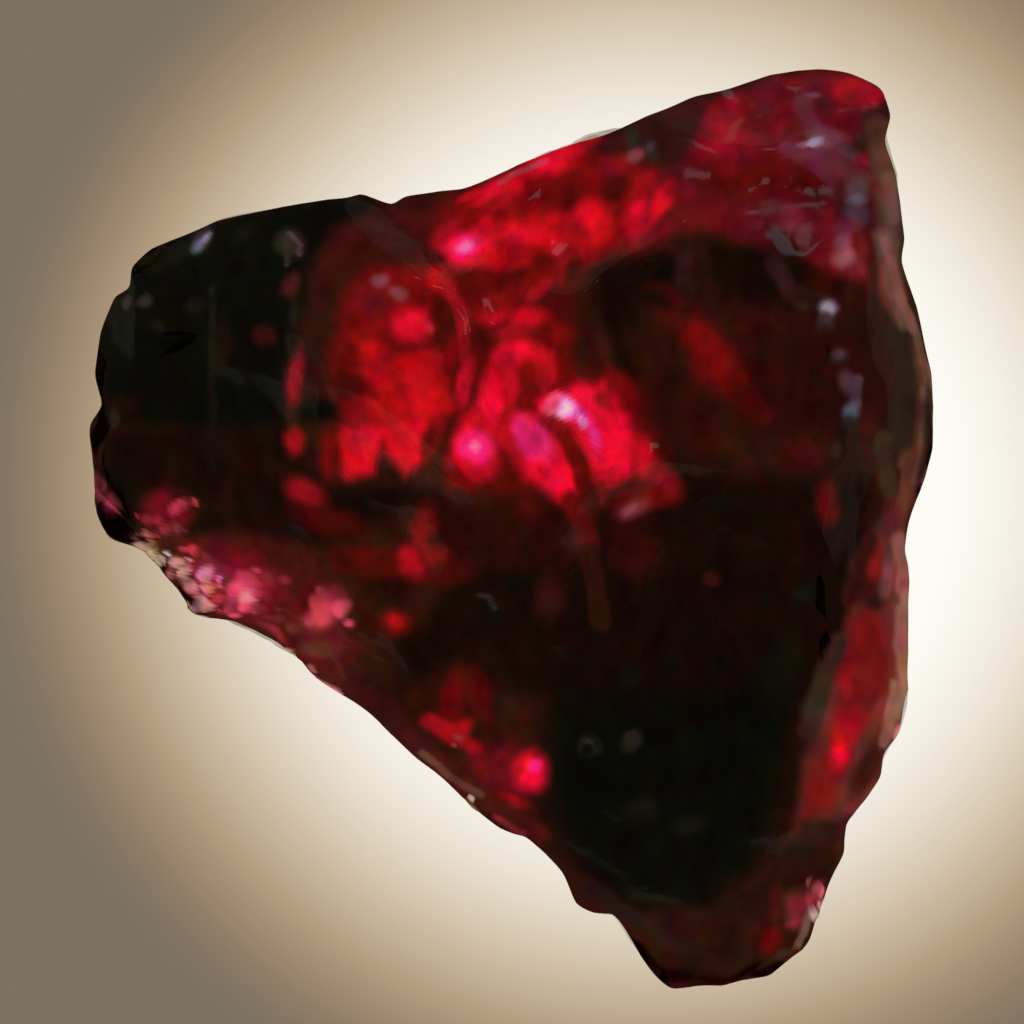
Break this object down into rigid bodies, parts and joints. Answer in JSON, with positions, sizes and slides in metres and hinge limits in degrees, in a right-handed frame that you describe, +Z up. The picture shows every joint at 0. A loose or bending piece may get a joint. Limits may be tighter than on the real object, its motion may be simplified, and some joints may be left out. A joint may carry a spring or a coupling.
{
  "type": "rough painite crystal",
  "caption": "Rough glassy dark red crystal fragment with flat faces, hollow conchoidal fractures and a thin toe, lying on its flat side.",
  "frame": {"origin": "middle of the stone's bounding box, at the height of the flat base that it rests on", "axes": "+Z up from the flat base, +Y along the stone's longest extent towards its sharp upper corner, +X across it towards its steep broken side"},
  "size_m": [0.0084, 0.0092, 0.0042],
  "materials": {
    "painite": "glassy broken crystal, dark blood red to black-brown in the thick places and bright red where light comes through"
  },
  "bodies": {
    "root": {"painite_crystal": "painite"}
  },
  "joints": []
}
